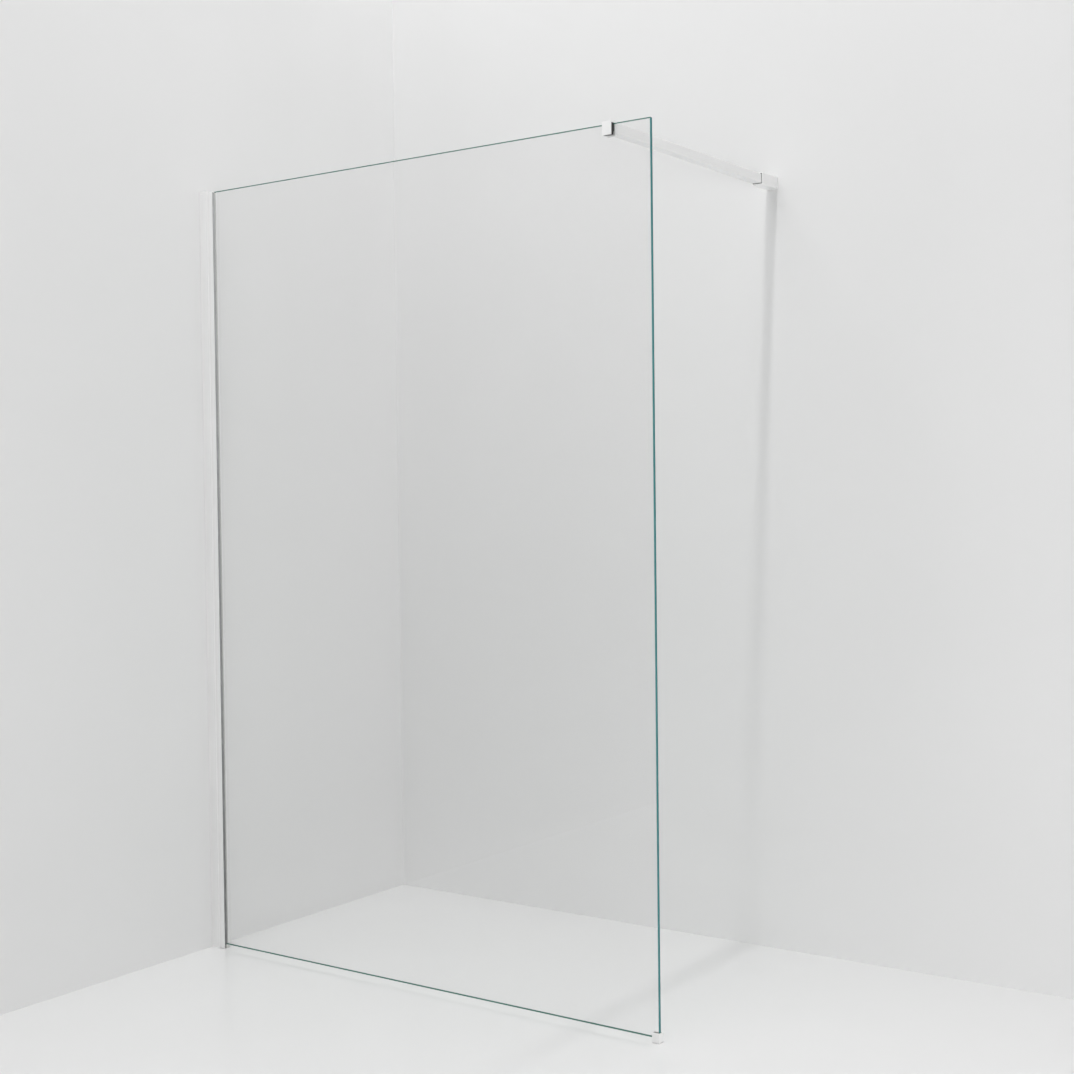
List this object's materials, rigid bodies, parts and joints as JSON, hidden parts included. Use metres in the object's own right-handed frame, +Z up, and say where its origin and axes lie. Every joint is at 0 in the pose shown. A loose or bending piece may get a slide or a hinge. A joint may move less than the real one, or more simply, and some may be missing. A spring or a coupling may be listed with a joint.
{
  "type": "walk-in shower screen",
  "caption": "Fixed clear glass shower panel in an adjustable white wall channel, with a square stabiliser bar to the wall behind and a small foot.",
  "frame": {"origin": "centre of the footprint, at floor level", "axes": "+X along the glass from the wall channel to the free edge, +Y from the face of the glass into the shower, +Z up"},
  "size_m": [1.3782, 0.7972, 2.0066],
  "materials": {
    "white_coat": "satin white powder coat on aluminium",
    "white_plastic": "fine satin moulded plastic",
    "pale_plastic": "moulded plastic",
    "dark_rubber": "matte extruded rubber",
    "clear_glass": "clear toughened float glass with ground and polished edges",
    "steel": "stainless steel",
    "cast_zinc": "fine cast metal",
    "clear_liner": "soft translucent grey plastic",
    "grey_foam": "closed-cell adhesive foam"
  },
  "bodies": {
    "wall_channel": {"wall_channel": "white_coat", "wall_channel_cap": "white_plastic"},
    "glass_unit": {"glazing_channel": "white_coat", "glazing_channel_cap": "white_plastic", "cap_screw": "steel", "front_gasket": "dark_rubber", "rear_gasket": "dark_rubber", "setting_block": "pale_plastic", "edge_spacers": "pale_plastic", "glass_pane": "clear_glass", "adjusting_screws": "steel", "screw_covers": "white_plastic"},
    "clamp": {"clamp_body": "white_coat", "clamp_front_pad": "dark_rubber", "clamp_top_pad": "dark_rubber", "bar_tube": "white_coat", "bar_grub_screw": "steel"},
    "press": {"pressure_plate": "steel", "clamp_rear_pad": "dark_rubber", "clamp_grub_screw": "steel"},
    "sleeve": {"wall_sleeve": "white_coat", "sleeve_bush": "dark_rubber", "sleeve_grub_screw": "steel"},
    "wall_base": {"wall_base": "cast_zinc"},
    "foot": {"foot_shoe": "white_plastic", "foot_liner": "clear_liner", "foot_pad": "grey_foam"}
  },
  "joints": [
    {"name": "wall_adjust", "type": "slide", "parent": "wall_channel", "child": "glass_unit", "axis": [1, 0, 0], "range_m": [-0.007, 0.007]},
    {"name": "clamp_slide", "type": "slide", "parent": "glass_unit", "child": "clamp", "axis": [1, 0, 0], "range_m": [-1.2, 0.092]},
    {"name": "press_travel", "type": "slide", "parent": "clamp", "child": "press", "axis": [0, 1, 0], "range_m": [0, 0.0015]},
    {"name": "sleeve_slide", "type": "slide", "parent": "clamp", "child": "sleeve", "axis": [0, 1, 0], "range_m": [-0.678, 0]},
    {"name": "base_reach", "type": "slide", "parent": "clamp", "child": "wall_base", "axis": [0, 1, 0], "range_m": [-0.006, 0.015]},
    {"name": "foot_slide", "type": "slide", "parent": "glass_unit", "child": "foot", "axis": [1, 0, 0], "range_m": [0, 0.016]}
  ]
}
